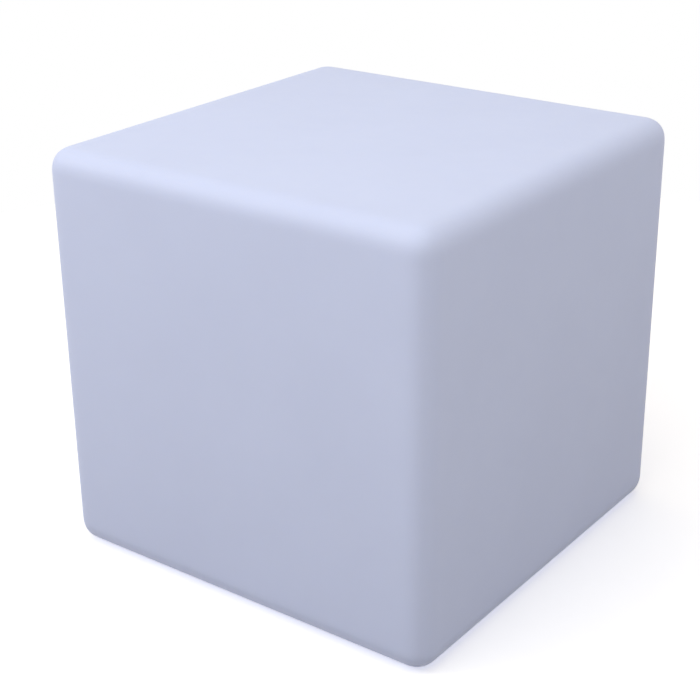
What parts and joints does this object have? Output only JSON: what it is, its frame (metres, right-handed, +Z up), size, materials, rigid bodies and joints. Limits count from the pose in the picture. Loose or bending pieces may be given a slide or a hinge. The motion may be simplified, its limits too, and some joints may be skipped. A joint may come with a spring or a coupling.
{
  "type": "LED cube light",
  "caption": "Hollow rounded plastic cube that glows from a sealed rechargeable lamp unit screwed up into a round recess in its underside.",
  "frame": {"origin": "centre of the face that the cube stands on", "axes": "+Z up, -Y towards the front, where the button and the charging socket lie under the cube"},
  "size_m": [0.4, 0.4, 0.385],
  "materials": {
    "polyethylene": "satin",
    "housing_plastic": "fine texture",
    "frosted_lens": "frosted",
    "black_rubber": "matte",
    "cap_rubber": "matte",
    "steel": "bright",
    "button_steel": "turned",
    "brass": "bright",
    "aluminium_board": "white coated",
    "led_package": "gloss",
    "dark_epoxy": "gloss",
    "nickel": "bright",
    "insulating_paper": "matte",
    "shrink_wrap": "gloss",
    "foam": "foam",
    "circuit_board": "solder mask",
    "chip_black": "matte",
    "ferrite": "matte",
    "capacitor_can": "satin",
    "nylon": "satin",
    "red_black_wire": "satin",
    "white_wire": "satin",
    "socket_plastic": "satin",
    "clear_plastic": "clear"
  },
  "bodies": {
    "cube": {"cube_shell": "polyethylene", "threaded_inserts": "brass", "flange_gasket": "black_rubber", "base_housing": "housing_plastic", "flange_screws": "steel", "sealing_washers": "black_rubber", "dome_lens": "frosted_lens", "dome_seal": "black_rubber", "dome_screws": "steel", "led_board": "aluminium_board", "leds": "led_package", "remote_receiver": "dark_epoxy", "led_board_screws": "steel", "battery_cells": "nickel", "battery_tabs": "nickel", "battery_end_papers": "insulating_paper", "battery_wrap": "shrink_wrap", "battery_pad": "foam", "battery_clamp": "steel", "clamp_screws": "steel", "control_board": "circuit_board", "control_board_screws": "steel", "control_chips": "chip_black", "inductor": "ferrite", "capacitors": "capacitor_can", "wire_sockets": "nylon", "battery_leads": "red_black_wire", "button_leads": "white_wire", "charge_leads": "red_black_wire", "led_leads": "white_wire", "button_body": "button_steel", "button_spring": "steel", "button_rear_cover": "socket_plastic", "button_terminals": "brass", "button_nut": "steel", "charge_socket": "socket_plastic", "charge_socket_pin": "nickel", "charge_socket_terminals": "brass", "charge_socket_nut": "socket_plastic", "socket_cap_strap": "cap_rubber", "indicator_light_pipe": "clear_plastic", "indicator_led": "clear_plastic"},
    "button": {"button_cap": "button_steel"},
    "port_cap": {"socket_cap": "cap_rubber"}
  },
  "joints": [
    {"name": "button_press", "type": "slide", "parent": "cube", "child": "button", "axis": [0, 0, 1], "range_m": [0, 0.0015], "stiffness_N_per_m": 1200, "springref_m": -0.0005, "deforming": ["button_spring"]},
    {"name": "socket_cap_swing", "type": "hinge", "parent": "cube", "child": "port_cap", "pos_m": [0.01134, -0.045, 0.0109], "axis": [0, 1, 0], "range_deg": [0, 130], "stiffness_Nm_per_rad": 0.0004, "springref_deg": -28.65, "deforming": ["socket_cap_strap"]}
  ]
}
